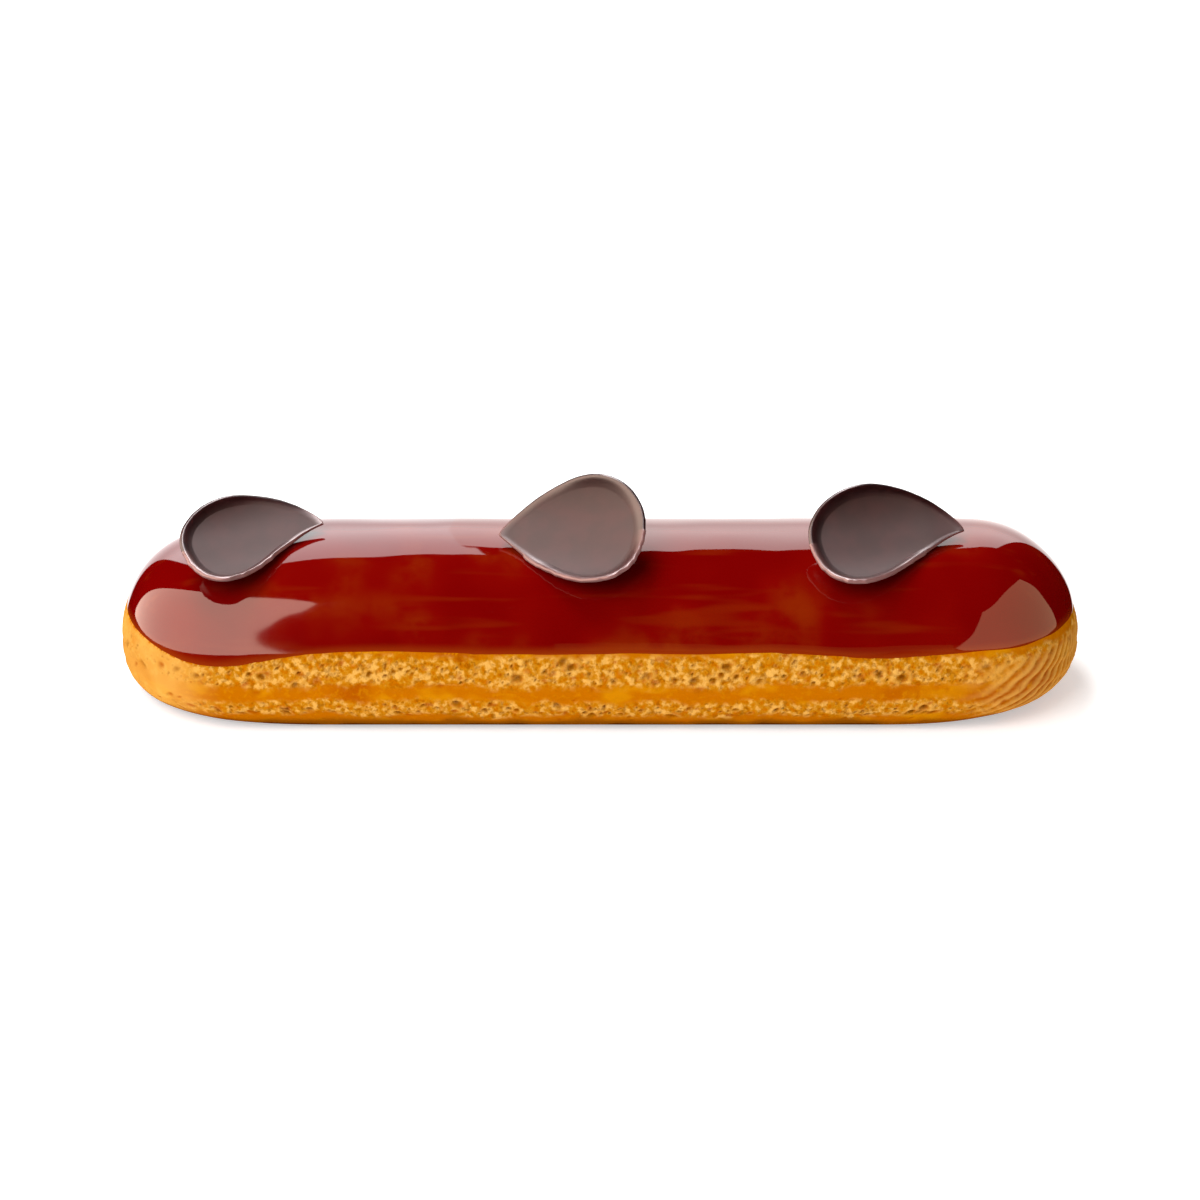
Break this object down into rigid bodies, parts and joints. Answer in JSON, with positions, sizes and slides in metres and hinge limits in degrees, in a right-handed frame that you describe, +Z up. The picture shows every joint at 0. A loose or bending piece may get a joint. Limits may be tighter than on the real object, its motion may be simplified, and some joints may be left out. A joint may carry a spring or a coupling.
{
  "type": "chocolate eclair",
  "caption": "Oblong baked choux bun under a glossy poured chocolate icing, decorated along its top with curled teardrop petals of dark chocolate.",
  "frame": {"origin": "middle of the footprint, on the surface the eclair lies on", "axes": "+X along the eclair, towards the end that the last petal's tip points to; +Y across it, away from the side the petals lean towards; +Z up"},
  "size_m": [0.1404, 0.0359, 0.0336],
  "materials": {
    "choux": "baked golden crust, porous, matt",
    "icing": "mirror-smooth poured chocolate icing, red-brown",
    "chocolate": "tempered dark chocolate, satin gloss"
  },
  "bodies": {
    "root": {"choux_bun": "choux", "chocolate_icing": "icing", "petal_left": "chocolate", "petal_middle": "chocolate", "petal_right": "chocolate"}
  },
  "joints": []
}
